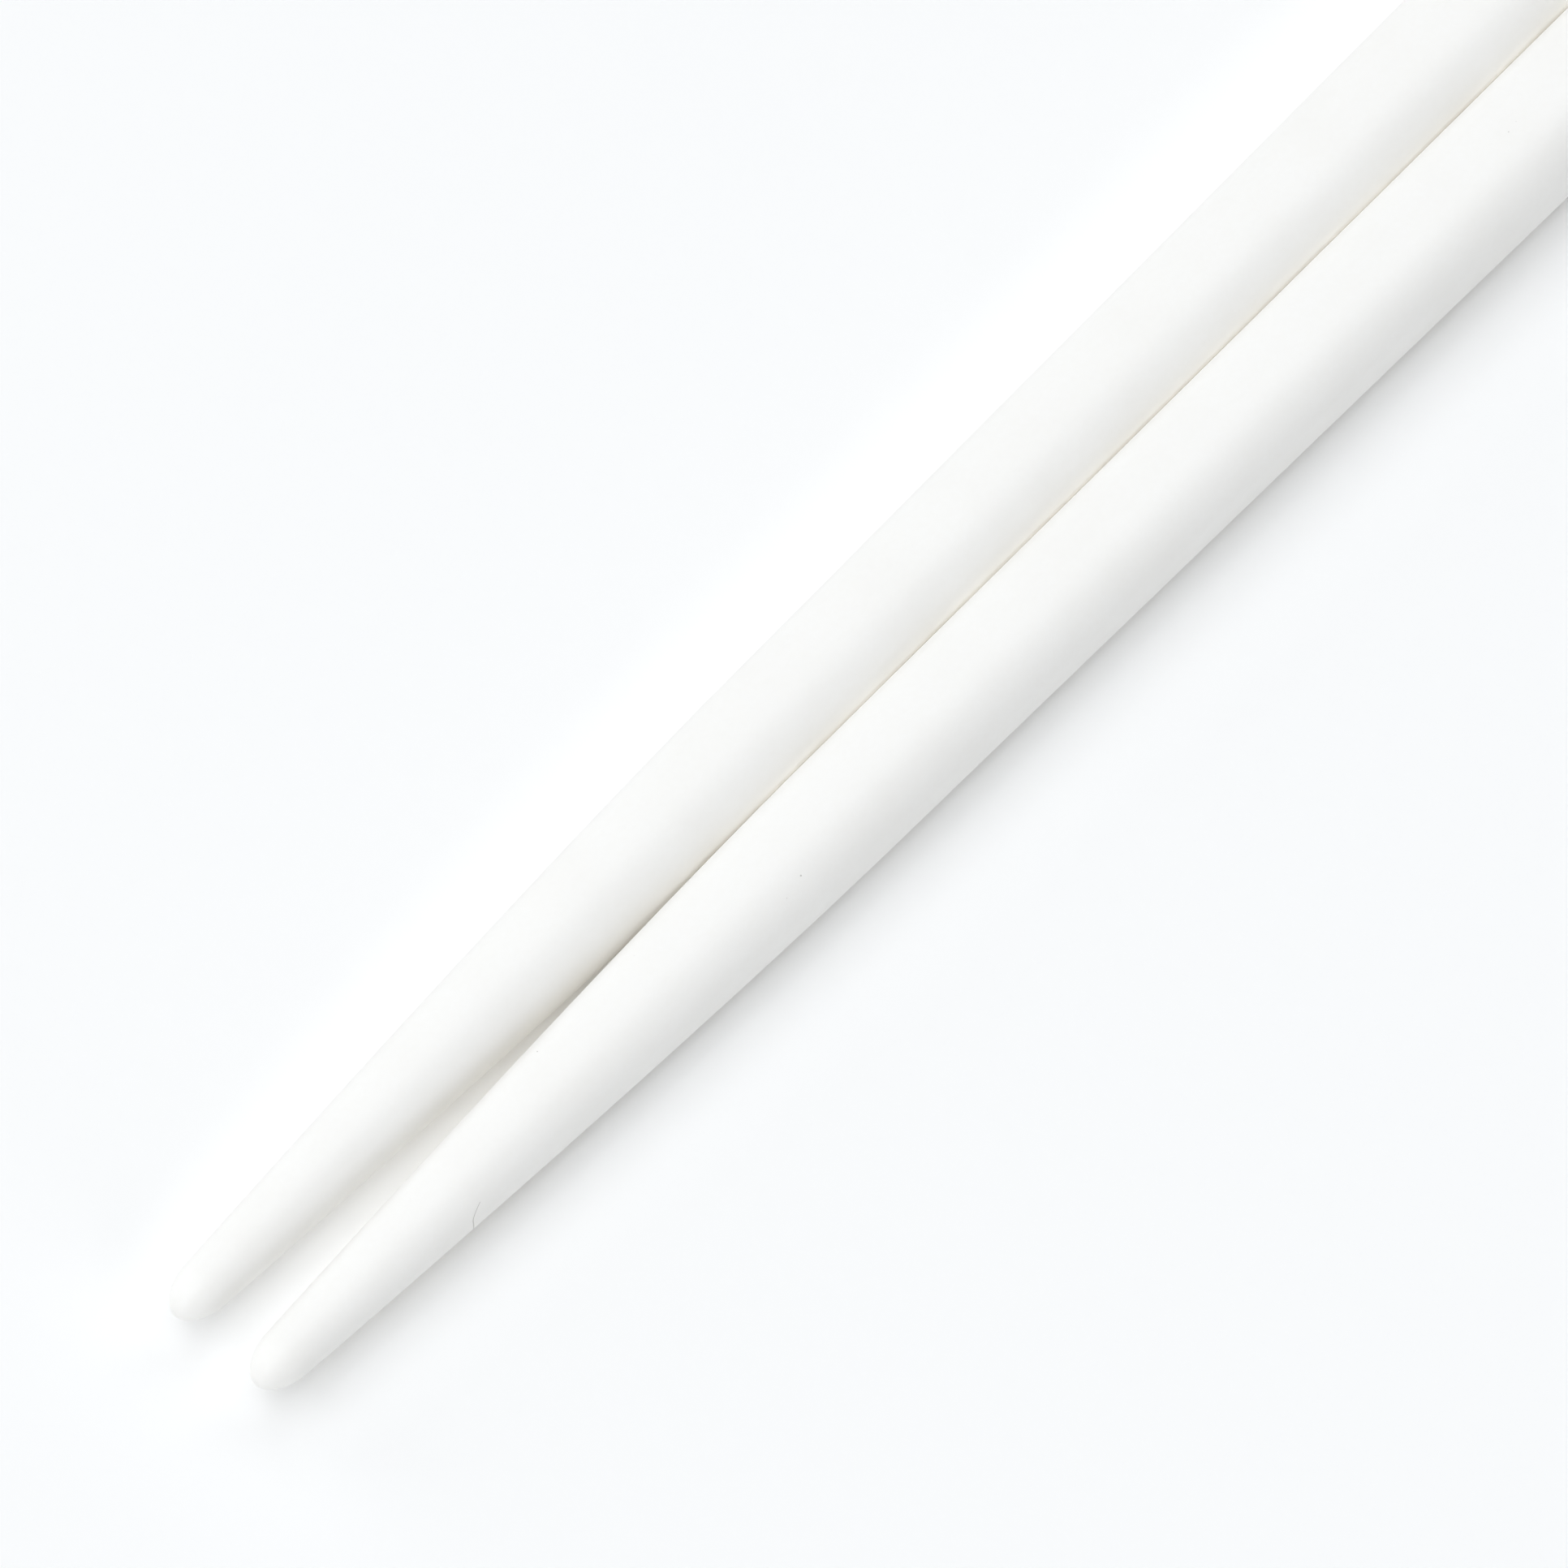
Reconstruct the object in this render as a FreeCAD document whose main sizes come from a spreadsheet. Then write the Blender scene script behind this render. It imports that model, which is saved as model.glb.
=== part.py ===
import FreeCAD, Part
import math
import os
import Sketcher

# A pair of moulded plastic chopsticks, lying side by side on a table.
#
# Frame, in millimetres: +X runs from the eating tips to the butts, +Z is up, and the
# origin is on the table in the middle of the pair's footprint.
#
# Both sticks are the same solid bar of rounded-square section. Between the butt and the
# shoulder it has four flat sides and tapers slowly. From the shoulder to the nose it
# tapers faster, on a curve, and the nose closes it like half an egg. A stick lies on a
# flat side, so its tip stands clear of the table, and the two sticks lie flat side to
# flat side with their tips level.

SIZES = [
    ("stick_length", 225.0, "tip to butt"),
    ("butt_side", 8.0, "across the flats at the butt"),
    ("shoulder_side", 5.45, "across the flats at the shoulder"),
    ("corner_radius", 2.3, "rounding of the four long edges of the flat-sided body"),
    ("butt_edge_radius", 0.8, "rounding of the edge round the butt face"),
    ("taper_length", 40.0, "tip to shoulder"),
    ("tip_side", 2.3, "across the flats where the taper, without its nose, meets the tip"),
    ("taper_power", 1.55, "1 is a straight taper, more is a fuller one"),
    ("tip_corner_share", 0.48, "corner radius at the tip, as a share of tip_side"),
    ("nose_length", 1.9, "tip to where the nose runs into the taper"),
    ("nose_flat_share", 0.2, "side of the small flat on the tip, as a share of tip_side"),
    ("side_clearance", 0.1, "gap between the flats that lie side by side"),
]

# Where the sections of the curved taper are, as shares of the way from nose to shoulder,
# and those of the nose, as shares of the way from tip to taper.
TAPER_STATIONS = [0.75, 0.5, 0.27, 0.1, 0.0]
NOSE_STATIONS = [0.7, 0.42, 0.2, 0.06, 0.0]
NEAR = 1e-3

doc = FreeCAD.newDocument("chopstick_pair")
sheet = doc.addObject("Spreadsheet::Sheet", "sizes")
for row, (alias, value, meaning) in enumerate(SIZES, start=1):
    sheet.set(f"A{row}", str(value))
    sheet.setAlias(f"A{row}", alias)
    sheet.set(f"B{row}", meaning)
doc.recompute()


def size(alias):
    """The value of a driving dimension."""
    return float(getattr(sheet, alias))


def bind(target, expressions):
    """Tie properties or sketch constraints to expressions of the sheet's cells."""
    for name, expression in expressions.items():
        target.setExpression(name, expression)


def origin_plane(body, role):
    """One of the body's own three origin planes."""
    return next(plane for plane in body.Origin.OriginFeatures if plane.Role == role)


def faces_at_end(feature, station):
    """Names of the flat faces square to the stick, at a distance from its tip."""
    return [
        f"Face{number}"
        for number, face in enumerate(feature.Shape.Faces, start=1)
        if abs(face.CenterOfMass.y - station) < NEAR and face.BoundBox.YLength < NEAR
    ]


def edges_at_end(feature, station):
    """Names of the edges that bound the flat end at a distance from the tip."""
    return [
        f"Edge{number}"
        for number, edge in enumerate(feature.Shape.Edges, start=1)
        if abs(edge.CenterOfMass.y - station) < NEAR and edge.BoundBox.YLength < NEAR
    ]


def long_edges(feature):
    """Names of the edges that run from end to end."""
    half = feature.Shape.BoundBox.YLength / 2
    return [
        f"Edge{number}"
        for number, edge in enumerate(feature.Shape.Edges, start=1)
        if edge.BoundBox.YLength > half
    ]


def taper_side(distance):
    """Expression for the side of the taper's section at a distance from the tip."""
    return (
        "sizes.shoulder_side - (sizes.shoulder_side - sizes.tip_side)"
        f" * (1 - ({distance}) / sizes.taper_length) ^ sizes.taper_power"
    )


def corner_share(distance):
    """Expression for the corner radius there as a share of the side: most at the tip."""
    shoulder_share = "sizes.corner_radius / sizes.shoulder_side"
    return (
        f"sizes.tip_corner_share + ({shoulder_share} - sizes.tip_corner_share)"
        f" * ({distance}) / sizes.taper_length"
    )


def nose_narrowing(station):
    """Expression for the side of the nose's section as a share of the taper's there."""
    return f"sqrt(1 - (1 - sizes.nose_flat_share ^ 2) * {(1 - station) ** 2})"


def rounded_square(body, name, distance, narrowing="1"):
    """A sketch of the section at a distance from the tip, narrower where the nose is."""
    side = f"({taper_side(distance)}) * {narrowing}"
    sketch = body.newObject("Sketcher::SketchObject", name)
    sketch.AttachmentSupport = [(origin_plane(body, "XZ_Plane"), "")]
    sketch.MapMode = "FlatFace"
    bind(sketch, {".AttachmentOffset.Base.z": f"-({distance})"})

    half = size("tip_side") / 2
    radius = half / 2
    straight = half - radius
    corner = FreeCAD.Vector(straight, straight, 0)
    start = FreeCAD.Vector(straight, half, 0)
    end = FreeCAD.Vector(-straight, half, 0)
    for quarter in range(4):
        turn = FreeCAD.Rotation(FreeCAD.Vector(0, 0, 1), 90 * quarter)
        begin = math.radians(90 * quarter)
        circle = Part.Circle(turn * corner, FreeCAD.Vector(0, 0, 1), radius)
        sketch.addGeometry(Part.ArcOfCircle(circle, begin, begin + math.pi / 2), False)
        sketch.addGeometry(Part.LineSegment(turn * start, turn * end), False)

    arcs = [0, 2, 4, 6]
    lines = [1, 3, 5, 7]
    for index in range(4):
        next_arc = arcs[(index + 1) % 4]
        sketch.addConstraint(Sketcher.Constraint("Tangent", arcs[index], 2, lines[index], 1))
        sketch.addConstraint(Sketcher.Constraint("Tangent", lines[index], 2, next_arc, 1))
        direction = "Horizontal" if index % 2 == 0 else "Vertical"
        sketch.addConstraint(Sketcher.Constraint(direction, lines[index]))
    for arc in arcs[1:]:
        sketch.addConstraint(Sketcher.Constraint("Equal", arcs[0], arc))
    sketch.addConstraint(Sketcher.Constraint("Equal", lines[0], lines[1]))
    sketch.addConstraint(Sketcher.Constraint("Symmetric", arcs[0], 3, arcs[2], 3, -1, 1))
    across = Sketcher.Constraint("DistanceX", lines[1], 1, lines[3], 1, 2 * half)
    rounding = Sketcher.Constraint("Radius", arcs[0], radius)
    sketch.renameConstraint(sketch.addConstraint(across), "side")
    sketch.renameConstraint(sketch.addConstraint(rounding), "corner_radius")
    bind(sketch, {
        "Constraints.side": side,
        "Constraints.corner_radius": f"{side} * ({corner_share(distance)})",
    })
    return sketch


def loft(body, name, base, distance, sections):
    """Carry a feature on from its flat end at a distance from the tip."""
    doc.recompute()
    carried_on = body.newObject("PartDesign::AdditiveLoft", name)
    carried_on.Profile = (base, faces_at_end(base, distance))
    carried_on.Sections = sections
    doc.recompute()
    return carried_on


def fillet(body, name, base, edges, radius):
    """Round some edges of a feature, with a radius tied to the sheet."""
    rounding = body.newObject("PartDesign::Fillet", name)
    rounding.Base = (base, edges)
    bind(rounding, {"Radius": radius})
    doc.recompute()
    return rounding


def chopstick(label):
    """One stick along its own +Y, from the middle of its tip to the middle of its butt."""
    body = doc.addObject("PartDesign::Body", label)
    body.Label = label

    bar = body.newObject("PartDesign::AdditiveWedge", f"{label}_bar")
    bind(bar, {"Ymin": "sizes.taper_length", "Ymax": "sizes.stick_length"})
    for axis in "XZ":
        bind(bar, {
            f"{axis}min": "-sizes.shoulder_side / 2",
            f"{axis}max": "sizes.shoulder_side / 2",
            f"{axis}2min": "-sizes.butt_side / 2",
            f"{axis}2max": "sizes.butt_side / 2",
        })
    doc.recompute()

    corners = fillet(body, f"{label}_corners", bar, long_edges(bar), "sizes.corner_radius")

    taper_sections = []
    for number, station in enumerate(TAPER_STATIONS, start=1):
        reach = "(sizes.taper_length - sizes.nose_length)"
        distance = f"sizes.nose_length + {station} * {reach}"
        name = f"{label}_taper_section_{number}"
        taper_sections.append(rounded_square(body, name, distance))
    taper = loft(body, f"{label}_taper", corners, size("taper_length"), taper_sections)

    nose_sections = []
    for number, station in enumerate(NOSE_STATIONS, start=1):
        distance = f"{station} * sizes.nose_length"
        name = f"{label}_nose_section_{number}"
        nose_sections.append(rounded_square(body, name, distance, nose_narrowing(station)))
    nose = loft(body, f"{label}_nose", taper, size("nose_length"), nose_sections)

    butt_edges = edges_at_end(nose, size("stick_length"))
    fillet(body, f"{label}_butt_edge", nose, butt_edges, "sizes.butt_edge_radius")
    return body


def lay_down(body, side):
    """Put a stick on the table: side is +1 or -1 for the side of the pair it lies on."""
    body_length = size("stick_length") - size("taper_length")
    half_taper = math.atan((size("butt_side") - size("shoulder_side")) / 2 / body_length)
    lean = math.degrees(half_taper)
    along_x = FreeCAD.Rotation(FreeCAD.Vector(0, 0, 1), -90)
    flat_side_down = FreeCAD.Rotation(FreeCAD.Vector(0, 1, 0), -lean)
    flat_side_in = FreeCAD.Rotation(FreeCAD.Vector(0, 0, 1), side * lean)
    turn = flat_side_in * flat_side_down * along_x

    # Where the planes of the flat sides, carried on past the shoulder, pass the tip.
    half_at_tip = size("shoulder_side") / 2 - size("taper_length") * math.tan(half_taper)
    below = turn * FreeCAD.Vector(0, 0, -half_at_tip)
    inward = turn * FreeCAD.Vector(side * half_at_tip, 0, 0)
    base = FreeCAD.Vector(
        -size("stick_length") / 2,
        side * size("side_clearance") / 2 - inward.y,
        -below.z,
    )
    body.Placement = FreeCAD.Placement(base, turn)


still_chopstick = chopstick("still_chopstick")
moving_chopstick = chopstick("moving_chopstick")
lay_down(still_chopstick, 1)
lay_down(moving_chopstick, -1)
doc.recompute()

for item in doc.Objects:
    failed = {"Invalid", "Error"} & set(item.State)
    if failed:
        raise RuntimeError(f"{item.Label} is {failed}")

os.makedirs("parts", exist_ok=True)
for body in (still_chopstick, moving_chopstick):
    shape = body.Shape
    if shape.isNull() or not shape.isValid() or len(shape.Solids) != 1:
        raise RuntimeError(f"{body.Label} is not one valid solid")
    box = shape.BoundBox
    print(
        body.Label,
        f"x {box.XMin:.3f} {box.XMax:.3f}",
        f"y {box.YMin:.3f} {box.YMax:.3f}",
        f"z {box.ZMin:.3f} {box.ZMax:.3f}",
        f"volume {shape.Volume:.1f}",
    )
    shape.exportStep(f"parts/{body.Label}.step")
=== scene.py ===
"""A pair of moulded chopsticks on a white table: their shape, their plastic and the studio."""

import math

import bmesh
import bpy
from bpy.props import FloatProperty, FloatVectorProperty, IntProperty, PointerProperty
from mathutils import Matrix, Vector


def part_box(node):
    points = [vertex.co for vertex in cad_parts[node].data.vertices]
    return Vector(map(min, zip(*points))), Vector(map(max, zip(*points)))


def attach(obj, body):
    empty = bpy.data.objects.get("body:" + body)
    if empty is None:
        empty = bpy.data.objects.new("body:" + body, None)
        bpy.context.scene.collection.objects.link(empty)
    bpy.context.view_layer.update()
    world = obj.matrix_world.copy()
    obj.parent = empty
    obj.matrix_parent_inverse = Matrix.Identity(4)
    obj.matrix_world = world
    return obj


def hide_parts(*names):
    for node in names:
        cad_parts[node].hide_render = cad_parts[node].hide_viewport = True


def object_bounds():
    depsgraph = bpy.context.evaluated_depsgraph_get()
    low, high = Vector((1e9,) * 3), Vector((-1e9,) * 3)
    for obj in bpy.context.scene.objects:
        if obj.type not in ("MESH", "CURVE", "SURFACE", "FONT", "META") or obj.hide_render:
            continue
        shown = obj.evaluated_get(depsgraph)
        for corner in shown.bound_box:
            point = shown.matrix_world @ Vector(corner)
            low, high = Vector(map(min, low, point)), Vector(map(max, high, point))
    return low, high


bl_info = {
    "name": "Chopsticks",
    "version": (1, 0, 0),
    "blender": (4, 5, 0),
    "location": "View3D > Sidebar > Chopsticks",
    "description": "Builds a pair of moulded chopsticks and the table they lie on",
    "category": "Object",
}

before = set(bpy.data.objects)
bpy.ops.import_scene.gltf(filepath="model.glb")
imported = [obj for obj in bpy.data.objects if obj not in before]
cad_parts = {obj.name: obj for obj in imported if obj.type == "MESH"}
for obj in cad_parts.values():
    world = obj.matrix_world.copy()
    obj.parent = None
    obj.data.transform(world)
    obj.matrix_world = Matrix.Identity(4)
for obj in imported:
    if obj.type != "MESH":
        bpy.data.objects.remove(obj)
CAD_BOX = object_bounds()
MM = 0.001

# Body name, and the side of the pair that the stick lies on.
STICKS = {"still_chopstick": 1, "moving_chopstick": -1}

# How far a ring of faces is set in round the flat at each end, as a share of its width.
END_INSET = 0.12

# Most times that light may bounce. It goes to and fro many times between white pieces that
# lie this close together.
LIGHT_BOUNCES = 32

# The card on the table: nearly no shine.
CARD_ROUGHNESS = 0.9
CARD_SPECULAR = 0.1

# Values of the noise, out of 0 to 1, between which each pattern fades in.
CLOUD_FADE = (0.42, 0.7)
GRAIN_FADE = (0.35, 0.7)
PATCH_FADE = (0.3, 0.7)
RUB_FADE = (0.62, 0.72)

# How much the rub marks and the mould's waves are packed along X, Y and Z. Both are longer
# along the sticks than across them.
RUB_SQUEEZE = (0.012, 1, 1)
WAVE_SQUEEZE = (0.4, 1, 1)

# The middle of a dust mark, which is fully dark, as a share of its radius.
SPECK_CORE = 0.6

# A hair stuck low on the near stick's outer side: x and z of its foot, its height, the share
# of it that is straight, how far the rest bends towards the butts, its width, and a y that
# only that side of the stick lies beyond.
HAIR_FOOT = (-100.4 * MM, 1.7 * MM)
HAIR_LENGTH = 1.85 * MM
HAIR_STRAIGHT = 0.6
HAIR_HOOK = 0.7 * MM
HAIR_WIDTH = 0.04 * MM
HAIR_SIDE = -3 * MM

# Rings of soft boxes: height above the horizon in degrees, how bright each box makes a white
# table, and the azimuths of the boxes, from +X towards +Y, in degrees. The middle ring has
# none in front, so the shadows of the sticks fall there.
LAMP_RINGS = {
    "low": (20, 0.07, (90, 180, 270)),
    "middle": (45, 0.1, (0, 45, 135, 180)),
    "high": (70, 0.14, (90, 180, 270)),
    "overhead": (90, 0.05, (0,)),
}


class StickShape(bpy.types.PropertyGroup):
    """The sizes of one stick, and how finely its surface is divided."""

    length: FloatProperty(
        name="Length", description="From tip to butt",
        default=225 * MM, unit="LENGTH", subtype="DISTANCE",
    )
    butt_side: FloatProperty(
        name="Butt side", description="Across the flats at the butt",
        default=8 * MM, unit="LENGTH", subtype="DISTANCE",
    )
    shoulder_side: FloatProperty(
        name="Shoulder side", description="Across the flats at the shoulder",
        default=5.45 * MM, unit="LENGTH", subtype="DISTANCE",
    )
    tip_side: FloatProperty(
        name="Tip side", description="Across the flats at the tip",
        default=2.3 * MM, unit="LENGTH", subtype="DISTANCE",
    )
    taper_length: FloatProperty(
        name="Taper length", description="From the tip to the shoulder",
        default=40 * MM, unit="LENGTH", subtype="DISTANCE",
    )
    taper_power: FloatProperty(
        name="Taper fullness", description="1 is a straight taper, more is a fuller one",
        default=1.55,
    )
    corner_radius: FloatProperty(
        name="Corner radius", description="Rounding of the long edges of the flat-sided body",
        default=2.3 * MM, unit="LENGTH", subtype="DISTANCE",
    )
    tip_corner_share: FloatProperty(
        name="Tip corners", description="Corner radius at the tip, as a share of its side",
        default=0.48, subtype="FACTOR",
    )
    nose_length: FloatProperty(
        name="Nose length", description="From the tip to where the nose runs into the taper",
        default=1.9 * MM, unit="LENGTH", subtype="DISTANCE",
    )
    nose_flat_share: FloatProperty(
        name="Nose flat", description="Side of the small flat on the tip, as a share of tip_side",
        default=0.2, subtype="FACTOR",
    )
    butt_edge_radius: FloatProperty(
        name="Butt edge radius", description="Rounding of the edge round the butt face",
        default=0.8 * MM, unit="LENGTH", subtype="DISTANCE",
    )
    side_clearance: FloatProperty(
        name="Side clearance", description="Gap between the flats that lie side by side",
        default=0.1 * MM, unit="LENGTH", subtype="DISTANCE",
    )
    ring_spacing: FloatProperty(
        name="Ring spacing", description="Distance between the mesh's rings along the body",
        default=1.5 * MM, unit="LENGTH", subtype="DISTANCE",
    )
    corner_segments: IntProperty(
        name="Corner segments", description="Mesh faces round each long edge", default=12,
    )
    flat_segments: IntProperty(
        name="Flat segments", description="Mesh faces across each flat side", default=4,
    )
    end_segments: IntProperty(
        name="End segments", description="Mesh rings over the nose and the butt edge", default=12,
    )


class PlasticFinish(bpy.types.PropertyGroup):
    """The white plastic."""

    colour: FloatVectorProperty(
        name="Colour", description="Base colour of the plastic",
        default=(0.965, 0.956, 0.935), size=3, min=0, max=1, subtype="COLOR",
    )
    cloud_colour: FloatVectorProperty(
        name="Cloud colour", description="Colour of the faint clouds in the plastic",
        default=(0.935, 0.922, 0.894), size=3, min=0, max=1, subtype="COLOR",
    )
    mark_colour: FloatVectorProperty(
        name="Mark colour", description="Colour of the dust marks and the hair",
        default=(0.22, 0.19, 0.17), size=3, min=0, max=1, subtype="COLOR",
    )
    cloud_width: FloatProperty(
        name="Cloud width", description="Size of the faint clouds in the plastic",
        default=3.5 * MM, unit="LENGTH", subtype="DISTANCE",
    )
    cloud_strength: FloatProperty(
        name="Cloud strength", description="How much of the cloud colour the clouds have",
        default=0.55, subtype="FACTOR",
    )
    grain_width: FloatProperty(
        name="Grain width", description="Size of the fine mottling inside the clouds",
        default=0.35 * MM, unit="LENGTH", subtype="DISTANCE",
    )
    grain_strength: FloatProperty(
        name="Grain strength", description="How much of the cloud colour the mottling has",
        default=0.35, subtype="FACTOR",
    )
    speck_spacing: FloatProperty(
        name="Speck spacing", description="Size of the cells that can hold a dust mark each",
        default=1.6 * MM, unit="LENGTH", subtype="DISTANCE",
    )
    speck_radius: FloatProperty(
        name="Speck radius", description="Radius of a dust mark",
        default=0.055 * MM, unit="LENGTH", subtype="DISTANCE",
    )
    speck_share: FloatProperty(
        name="Speck share", description="Share of the cells that hold a dust mark",
        default=0.3, subtype="FACTOR",
    )
    mark_strength: FloatProperty(
        name="Mark strength", description="How dark the dust marks and the hair are",
        default=0.45, subtype="FACTOR",
    )
    ior: FloatProperty(
        name="IOR", description="Index of refraction of the plastic", default=1.47,
    )
    roughness: FloatProperty(
        name="Roughness", description="Middle value of the satin surface",
        default=0.46, subtype="FACTOR",
    )
    roughness_spread: FloatProperty(
        name="Roughness spread", description="How far patches are duller or glossier than that",
        default=0.05, subtype="FACTOR",
    )
    patch_width: FloatProperty(
        name="Patch width", description="Size of the duller and glossier patches",
        default=6 * MM, unit="LENGTH", subtype="DISTANCE",
    )
    rub_width: FloatProperty(
        name="Rub width", description="Width of the fine marks rubbed along the stick",
        default=0.12 * MM, unit="LENGTH", subtype="DISTANCE",
    )
    rub_dullness: FloatProperty(
        name="Rub dullness", description="How much rougher the rub marks are",
        default=0.1, subtype="FACTOR",
    )
    rub_height: FloatProperty(
        name="Rub height", description="How much the rub marks stand out, for their dullness",
        default=0.01 * MM, unit="LENGTH", subtype="DISTANCE",
    )
    skin_grain: FloatProperty(
        name="Skin grain", description="Width of the moulded skin's bumps",
        default=0.22 * MM, unit="LENGTH", subtype="DISTANCE",
    )
    skin_height: FloatProperty(
        name="Skin height", description="Height of the moulded skin's bumps",
        default=0.003 * MM, unit="LENGTH", subtype="DISTANCE",
    )
    wave_length: FloatProperty(
        name="Wave length", description="Width of the slow waves left by the mould",
        default=7 * MM, unit="LENGTH", subtype="DISTANCE",
    )
    wave_height: FloatProperty(
        name="Wave height", description="Height of the slow waves left by the mould",
        default=0.02 * MM, unit="LENGTH", subtype="DISTANCE",
    )


class StudioLook(bpy.types.PropertyGroup):
    """The camera, the lights and the table."""

    azimuth: FloatProperty(
        name="Azimuth", description="0 looks along +Y",
        default=math.radians(-48.0), unit="ROTATION", subtype="ANGLE",
    )
    elevation: FloatProperty(
        name="Elevation", description="Height of the camera above the horizon",
        default=math.radians(61.8), unit="ROTATION", subtype="ANGLE",
    )
    distance: FloatProperty(
        name="Distance", description="From the camera to the spot it looks at",
        default=350 * MM, unit="LENGTH", subtype="DISTANCE",
    )
    lens: FloatProperty(
        name="Lens", description="Focal length, in millimetres, on a 36 mm sensor",
        default=172.2,
    )
    aim_from_tips: FloatProperty(
        name="Aim", description="How far behind the tips the camera looks",
        default=39.1 * MM, unit="LENGTH", subtype="DISTANCE",
    )
    aim_aside: FloatProperty(
        name="Aim aside", description="How far beside the line between the sticks it looks",
        default=1.16 * MM, unit="LENGTH", subtype="DISTANCE",
    )
    light: FloatProperty(
        name="Light", description="Brightness of all the lamps together", default=0.99,
    )
    lamp_colour: FloatVectorProperty(
        name="Lamp colour", description="Colour of all the lamps",
        default=(0.97, 0.987, 1.0), size=3, min=0, max=1, subtype="COLOR",
    )
    lamp_distance: FloatProperty(
        name="Lamp distance", description="From each soft box to the spot it points at",
        default=2.7, unit="LENGTH", subtype="DISTANCE",
    )
    lamp_size: FloatProperty(
        name="Lamp size", description="Side of each square soft box",
        default=1.5, unit="LENGTH", subtype="DISTANCE",
    )
    sky: FloatProperty(
        name="Sky", description="Brightness of the white room all round",
        default=0.04,
    )
    wall: FloatProperty(
        name="Wall", description="How bright the room looks beyond the table",
        default=0.8,
    )
    table_white: FloatProperty(
        name="Table white", description="How white the card on the table is",
        default=0.97, subtype="FACTOR",
    )
    fibre_width: FloatProperty(
        name="Fibre width", description="Size of the card's bumps",
        default=0.4 * MM, unit="LENGTH", subtype="DISTANCE",
    )
    fibre_height: FloatProperty(
        name="Fibre height", description="Height of the card's bumps",
        default=0.004 * MM, unit="LENGTH", subtype="DISTANCE",
    )
    table_size: FloatProperty(
        name="Table size", description="Side of the square table top",
        default=8.0, unit="LENGTH", subtype="DISTANCE",
    )


def half_taper(size):
    """The angle between the body's flat sides and its middle line."""
    body = size.length - size.taper_length
    return math.atan((size.butt_side - size.shoulder_side) / 2 / body)


def section_at(size, station):
    """Side and corner radius of the section at a distance from the tip."""
    if station >= size.taper_length:
        beyond = station - size.taper_length
        return size.shoulder_side + 2 * beyond * math.tan(half_taper(size)), size.corner_radius
    share = station / size.taper_length
    shrink = (size.shoulder_side - size.tip_side) * (1 - share) ** size.taper_power
    side = size.shoulder_side - shrink
    shoulder_share = size.corner_radius / size.shoulder_side
    corner_share = size.tip_corner_share + (shoulder_share - size.tip_corner_share) * share
    return side, side * corner_share


def rings(size):
    """Station, side and corner radius of each ring, from the tip to the butt."""
    made = []
    roundness = math.sqrt(1 - size.nose_flat_share ** 2)
    for step in range(size.end_segments + 1):
        turn = math.asin(roundness) * (1 - step / size.end_segments)
        station = size.nose_length * (1 - math.sin(turn) / roundness)
        side, radius = section_at(size, station)
        made.append((station, side * math.cos(turn), radius * math.cos(turn)))

    first = size.nose_length
    last = size.length - size.butt_edge_radius
    count = round((last - first) / size.ring_spacing)
    for step in range(1, count):
        station = first + (last - first) * step / count
        made.append((station, *section_at(size, station)))

    for step in range(size.end_segments + 1):
        turn = math.pi / 2 * step / size.end_segments
        station = last + size.butt_edge_radius * math.sin(turn)
        inset = size.butt_edge_radius * (1 - math.cos(turn))
        side, radius = section_at(size, station)
        made.append((station, side - 2 * inset, radius - inset))
    return made


def outline_point(side, radius, place, corner_segments, flat_segments):
    """A point of a rounded square: place counts the mesh's corners round it."""
    per_quarter = corner_segments + flat_segments
    quarter, step = divmod(place, per_quarter)
    straight = side / 2 - radius
    if step <= corner_segments:
        turn = math.pi / 2 * step / corner_segments
        point = Vector((straight + radius * math.cos(turn), straight + radius * math.sin(turn)))
    else:
        across = (step - corner_segments) / flat_segments
        point = Vector((straight * (1 - 2 * across), side / 2))
    return Matrix.Rotation(math.pi / 2 * quarter, 2) @ point


def stick_mesh(name, size, placement):
    """A sheet of faces rolled up round the stick's middle line, closed at both ends."""
    stations = rings(size)
    around = 4 * (size.corner_segments + size.flat_segments)
    bm = bmesh.new()
    bmesh.ops.create_grid(bm, x_segments=len(stations) - 1, y_segments=around, size=0.5)
    for vertex in bm.verts:
        ring = round((vertex.co.x + 0.5) * (len(stations) - 1))
        place = round((vertex.co.y + 0.5) * around) % around
        station, side, radius = stations[ring]
        y, z = outline_point(side, radius, place, size.corner_segments, size.flat_segments)
        vertex.co = (station, y, z)
    bmesh.ops.remove_doubles(bm, verts=bm.verts, dist=1e-7)
    ends = [edge for edge in bm.edges if edge.is_boundary]
    bmesh.ops.holes_fill(bm, edges=ends, sides=0)
    caps = [face for face in bm.faces if len(face.verts) == around]
    for cap in caps:
        width = max((a.co - b.co).length for a in cap.verts for b in cap.verts)
        inset = width * END_INSET
        bmesh.ops.inset_region(bm, faces=[cap], thickness=inset, use_even_offset=True)
    bmesh.ops.recalc_face_normals(bm, faces=bm.faces)
    bmesh.ops.transform(bm, matrix=placement, verts=bm.verts)
    mesh = bpy.data.meshes.new(name)
    bm.to_mesh(mesh)
    bm.free()
    mesh.shade_smooth()
    return mesh


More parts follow.
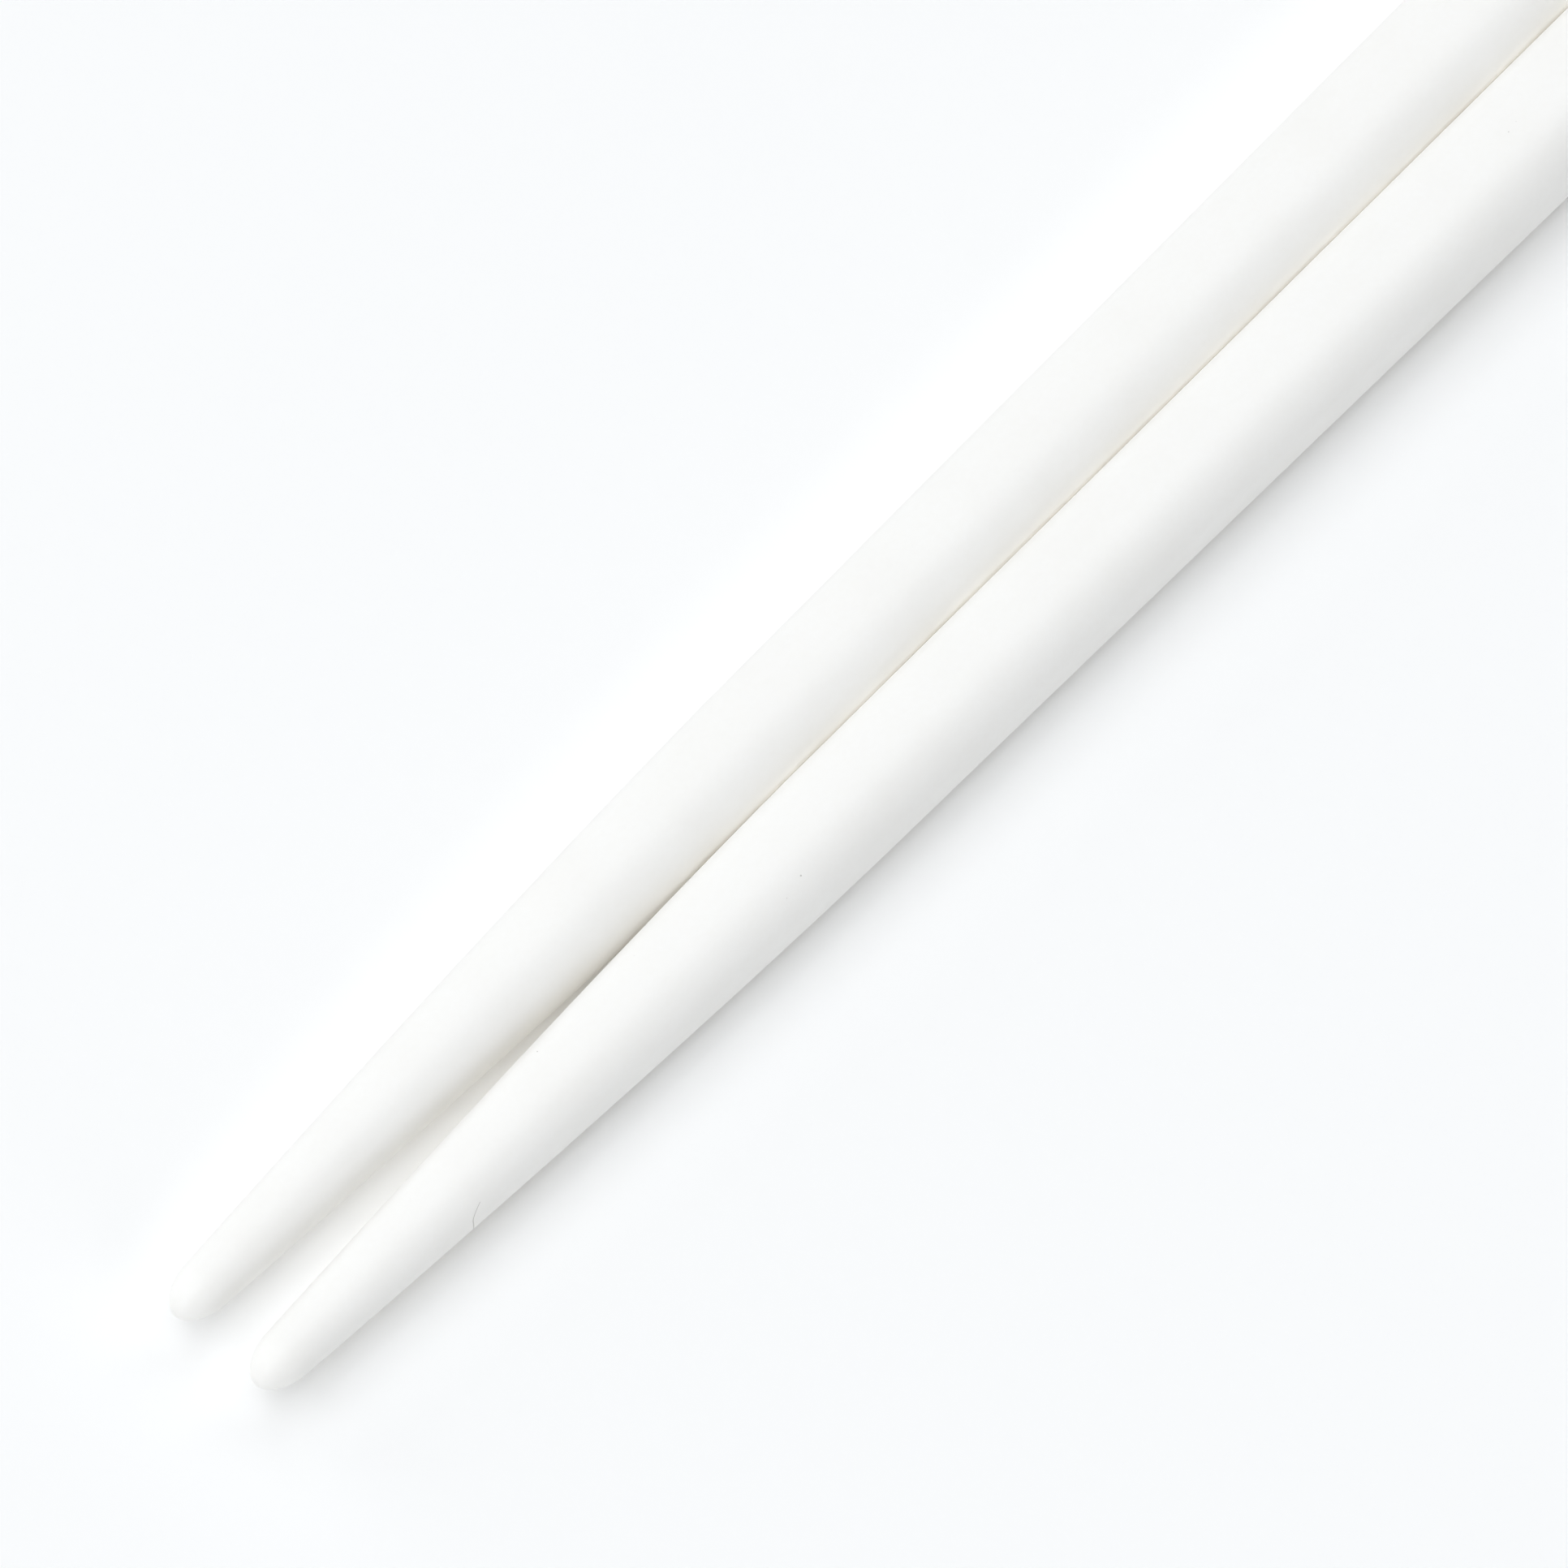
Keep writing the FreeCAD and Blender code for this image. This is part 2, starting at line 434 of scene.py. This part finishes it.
def resting_place(size, body):
    """How a stick lies: a flat side on the table, and a flat side against its neighbour."""
    side = STICKS[body]
    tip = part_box(body)[0][0]
    lean = half_taper(size)
    half_at_tip = size.shoulder_side / 2 - size.taper_length * math.tan(lean)
    turn = Matrix.Rotation(side * lean, 4, "Z") @ Matrix.Rotation(-lean, 4, "Y")
    below = turn @ Vector((0, 0, -half_at_tip))
    inward = turn @ Vector((0, -side * half_at_tip, 0))
    start = Vector((tip, side * size.side_clearance / 2 - inward.y, -below.z))
    return Matrix.Translation(start) @ turn


def show(mesh):
    """An object with this mesh, put in the scene."""
    piece = bpy.data.objects.new(mesh.name, mesh)
    bpy.context.scene.collection.objects.link(piece)
    return piece


class CHOPSTICKS_OT_mould_sticks(bpy.types.Operator):
    """Make both sticks, lying where the frame has them"""

    bl_idname = "chopsticks.mould_sticks"
    bl_label = "Mould sticks"

    def execute(self, context):
        size = context.scene.stick_shape
        plastic = white_plastic(context.scene.plastic_finish)
        for body in STICKS:
            mesh = stick_mesh(f"{body}_moulding", size, resting_place(size, body))
            mesh.materials.append(plastic)
            stick = show(mesh)
            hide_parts(body)
            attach(stick, body)
        return {"FINISHED"}


def new_material(name):
    """A material, with its nodes, its links and its shader."""
    material = bpy.data.materials.new(name)
    material.use_nodes = True
    nodes = material.node_tree.nodes
    return material, nodes, material.node_tree.links, nodes["Principled BSDF"]


def noise(nodes, links, place, width, detail, squeeze=(1, 1, 1)):
    """Smooth random values between 0 and 1, with lumps of about this width.

    detail counts the finer layers of lumps on top of them.
    """
    mapping = nodes.new("ShaderNodeMapping")
    mapping.inputs["Scale"].default_value = squeeze
    links.new(place, mapping.inputs["Vector"])
    lumps = nodes.new("ShaderNodeTexNoise")
    lumps.inputs["Scale"].default_value = 1 / width
    lumps.inputs["Detail"].default_value = detail
    links.new(mapping.outputs["Vector"], lumps.inputs["Vector"])
    return lumps.outputs["Fac"]


def mapped(nodes, links, value, old, new):
    """A value carried over from one range to another, and held inside it."""
    node = nodes.new("ShaderNodeMapRange")
    node.inputs["From Min"].default_value, node.inputs["From Max"].default_value = old
    node.inputs["To Min"].default_value, node.inputs["To Max"].default_value = new
    links.new(value, node.inputs["Value"])
    return node.outputs["Result"]


def sums(nodes, links, operation, *values):
    """One sum on two or three values, each a socket or a plain number."""
    node = nodes.new("ShaderNodeMath")
    node.operation = operation
    for socket, value in zip(node.inputs, values):
        if isinstance(value, bpy.types.NodeSocket):
            links.new(value, socket)
        else:
            socket.default_value = value
    return node.outputs["Value"]


def blend(nodes, links, share, first, second):
    """A mix of two colours, each a socket or three plain numbers."""
    node = nodes.new("ShaderNodeMix")
    node.data_type = "RGBA"
    links.new(share, node.inputs["Factor"])
    sockets = [socket for socket in node.inputs if socket.type == "RGBA"]
    for socket, colour in zip(sockets, (first, second)):
        if isinstance(colour, bpy.types.NodeSocket):
            links.new(colour, socket)
        else:
            socket.default_value = (*colour, 1)
    return next(socket for socket in node.outputs if socket.type == "RGBA")


def bumps(nodes, links, height, distance, under=None):
    """A bumpy surface from a height between 0 and 1, laid over another bumpy surface."""
    node = nodes.new("ShaderNodeBump")
    node.inputs["Distance"].default_value = distance
    links.new(height, node.inputs["Height"])
    if under:
        links.new(under, node.inputs["Normal"])
    return node.outputs["Normal"]


def specks(nodes, links, place, finish):
    """1 inside sparse round marks: a share of the cells hold one each."""
    cells = nodes.new("ShaderNodeTexVoronoi")
    cells.inputs["Scale"].default_value = 1 / finish.speck_spacing
    links.new(place, cells.inputs["Vector"])
    edge = finish.speck_radius / finish.speck_spacing
    inside = mapped(nodes, links, cells.outputs["Distance"], (edge * SPECK_CORE, edge), (1, 0))
    chosen = sums(nodes, links, "LESS_THAN", cells.outputs["Color"], finish.speck_share)
    return sums(nodes, links, "MULTIPLY", inside, chosen)


def hair(nodes, links, place):
    """1 along a fine short hook-shaped mark low on the near stick's outer side."""
    axes = nodes.new("ShaderNodeSeparateXYZ")
    links.new(place, axes.inputs["Vector"])
    x, y, z = axes.outputs
    up = sums(nodes, links, "SUBTRACT", z, HAIR_FOOT[1])
    along = sums(nodes, links, "SUBTRACT", x, HAIR_FOOT[0])
    bend = (HAIR_LENGTH * HAIR_STRAIGHT, HAIR_LENGTH)
    bent = mapped(nodes, links, up, bend, (0, 1))
    hook = sums(nodes, links, "MULTIPLY", sums(nodes, links, "POWER", bent, 2), HAIR_HOOK)
    aside = sums(nodes, links, "ABSOLUTE", sums(nodes, links, "SUBTRACT", along, hook))
    line = mapped(nodes, links, aside, (HAIR_WIDTH / 2, HAIR_WIDTH), (1, 0))
    above = sums(nodes, links, "GREATER_THAN", up, 0)
    below = sums(nodes, links, "LESS_THAN", up, HAIR_LENGTH)
    outside = sums(nodes, links, "LESS_THAN", y, HAIR_SIDE)
    inside = sums(nodes, links, "MULTIPLY", above, below)
    inside = sums(nodes, links, "MULTIPLY", inside, outside)
    return sums(nodes, links, "MULTIPLY", inside, line)


def white_plastic(finish):
    """Satin white plastic: a fine moulded skin, faintly cloudy, with a few dust marks."""
    material, nodes, links, shader = new_material("white_plastic")
    place = nodes.new("ShaderNodeTexCoord").outputs["Object"]

    clouds = noise(nodes, links, place, finish.cloud_width, detail=4)
    cloud = mapped(nodes, links, clouds, CLOUD_FADE, (0, finish.cloud_strength))
    colour = blend(nodes, links, cloud, finish.colour, finish.cloud_colour)
    grain = noise(nodes, links, place, finish.grain_width, detail=1)
    mottling = mapped(nodes, links, grain, GRAIN_FADE, (0, finish.grain_strength))
    colour = blend(nodes, links, mottling, colour, finish.cloud_colour)
    for mark in (specks(nodes, links, place, finish), hair(nodes, links, place)):
        shade = sums(nodes, links, "MULTIPLY", mark, finish.mark_strength)
        colour = blend(nodes, links, shade, colour, finish.mark_colour)
    links.new(colour, shader.inputs["Base Color"])

    patches = noise(nodes, links, place, finish.patch_width, detail=3)
    dullest = finish.roughness + finish.roughness_spread
    glossiest = finish.roughness - finish.roughness_spread
    dull = mapped(nodes, links, patches, PATCH_FADE, (glossiest, dullest))
    streaks = noise(nodes, links, place, finish.rub_width, detail=2, squeeze=RUB_SQUEEZE)
    rubbed = mapped(nodes, links, streaks, RUB_FADE, (0, finish.rub_dullness))
    links.new(sums(nodes, links, "ADD", dull, rubbed), shader.inputs["Roughness"])

    waves = noise(nodes, links, place, finish.wave_length, detail=1, squeeze=WAVE_SQUEEZE)
    waved = bumps(nodes, links, waves, finish.wave_height)
    scratched = bumps(nodes, links, rubbed, finish.rub_height, waved)
    skin = noise(nodes, links, place, finish.skin_grain, detail=3)
    links.new(bumps(nodes, links, skin, finish.skin_height, scratched), shader.inputs["Normal"])
    shader.inputs["IOR"].default_value = finish.ior
    return material


def table_top(look):
    """A wide sheet of white card under the pair."""
    material, nodes, links, shader = new_material("white_card")
    place = nodes.new("ShaderNodeTexCoord").outputs["Object"]
    fibres = noise(nodes, links, place, look.fibre_width, detail=3)
    links.new(bumps(nodes, links, fibres, look.fibre_height), shader.inputs["Normal"])
    shader.inputs["Base Color"].default_value = (*[look.table_white] * 3, 1)
    shader.inputs["Roughness"].default_value = CARD_ROUGHNESS
    shader.inputs["Specular IOR Level"].default_value = CARD_SPECULAR
    bm = bmesh.new()
    bmesh.ops.create_grid(bm, x_segments=1, y_segments=1, size=look.table_size / 2)
    mesh = bpy.data.meshes.new("table_top")
    bm.to_mesh(mesh)
    bm.free()
    mesh.materials.append(material)
    show(mesh)


def direction(azimuth, elevation):
    """A unit vector, azimuth counted from +X towards +Y."""
    flat = math.cos(elevation)
    return Vector((flat * math.cos(azimuth), flat * math.sin(azimuth), math.sin(elevation)))


def soft_box(name, look, aim, azimuth, elevation, brightness):
    """A square lamp that gives a white table this much brightness."""
    away = direction(azimuth, elevation)
    lamp = bpy.data.lights.new(name, "AREA")
    lamp.shape = "SQUARE"
    lamp.size = look.lamp_size
    lamp.color = look.lamp_colour
    lamp.energy = brightness * math.pi ** 2 * look.lamp_distance ** 2 / math.sin(elevation)
    box = bpy.data.objects.new(name, lamp)
    box.location = aim + away * look.lamp_distance
    box.rotation_mode = "QUATERNION"
    box.rotation_quaternion = away.to_track_quat("Z", "Y")
    box.visible_camera = False
    bpy.context.scene.collection.objects.link(box)


def white_room(look):
    """A world that adds a little light, and looks like a pale wall beyond the table."""
    world = bpy.data.worlds.new("white_room")
    world.use_nodes = True
    nodes, links = world.node_tree.nodes, world.node_tree.links
    seen = nodes.new("ShaderNodeLightPath").outputs["Is Camera Ray"]
    strength = mapped(nodes, links, seen, (0, 1), (look.sky, look.wall))
    background = nodes["Background"]
    background.inputs["Color"].default_value = (1, 1, 1, 1)
    links.new(strength, background.inputs["Strength"])
    return world


class CHOPSTICKS_OT_set_stage(bpy.types.Operator):
    """Lay the table, light it and set up the camera"""

    bl_idname = "chopsticks.set_stage"
    bl_label = "Set stage"

    def execute(self, context):
        scene = context.scene
        look = scene.studio_look
        tips = CAD_BOX[0][0]
        aim = Vector((tips + look.aim_from_tips, look.aim_aside, 0))
        table_top(look)
        for ring, (elevation, brightness, azimuths) in LAMP_RINGS.items():
            for azimuth in azimuths:
                angles = math.radians(azimuth), math.radians(elevation)
                soft_box(f"{ring}_{azimuth}", look, aim, *angles, look.light * brightness)

        scene.world = white_room(look)
        scene.cycles.max_bounces = LIGHT_BOUNCES
        scene.cycles.diffuse_bounces = LIGHT_BOUNCES

        scene.view_settings.view_transform = "Standard"
        scene.view_settings.look = "None"

        camera_data = bpy.data.cameras.new("camera")
        camera_data.lens = look.lens
        camera_data.clip_start = 10 * MM
        camera = bpy.data.objects.new("camera", camera_data)
        back = direction(look.azimuth - math.pi / 2, look.elevation)
        camera.location = aim + back * look.distance
        camera.rotation_mode = "QUATERNION"
        camera.rotation_quaternion = (-back).to_track_quat("-Z", "Y")
        scene.collection.objects.link(camera)
        scene.camera = camera
        return {"FINISHED"}


class CHOPSTICKS_PT_panel(bpy.types.Panel):
    """Lists the steps that build the scene"""

    bl_label = "Chopsticks"
    bl_idname = "CHOPSTICKS_PT_panel"
    bl_space_type = "VIEW_3D"
    bl_region_type = "UI"
    bl_category = "Chopsticks"

    def draw(self, context):
        for operator in OPERATORS:
            self.layout.operator(operator.bl_idname)


OPERATORS = (CHOPSTICKS_OT_mould_sticks, CHOPSTICKS_OT_set_stage)
GROUPS = {
    "stick_shape": StickShape,
    "plastic_finish": PlasticFinish,
    "studio_look": StudioLook,
}


def register():
    for name, group in GROUPS.items():
        bpy.utils.register_class(group)
        setattr(bpy.types.Scene, name, PointerProperty(type=group))
    for cls in (*OPERATORS, CHOPSTICKS_PT_panel):
        bpy.utils.register_class(cls)


def unregister():
    for cls in (CHOPSTICKS_PT_panel, *reversed(OPERATORS)):
        bpy.utils.unregister_class(cls)
    for name, group in reversed(GROUPS.items()):
        delattr(bpy.types.Scene, name)
        bpy.utils.unregister_class(group)


def main():
    register()
    bpy.ops.chopsticks.mould_sticks()
    bpy.ops.chopsticks.set_stage()


if __name__ == "__main__":
    main()
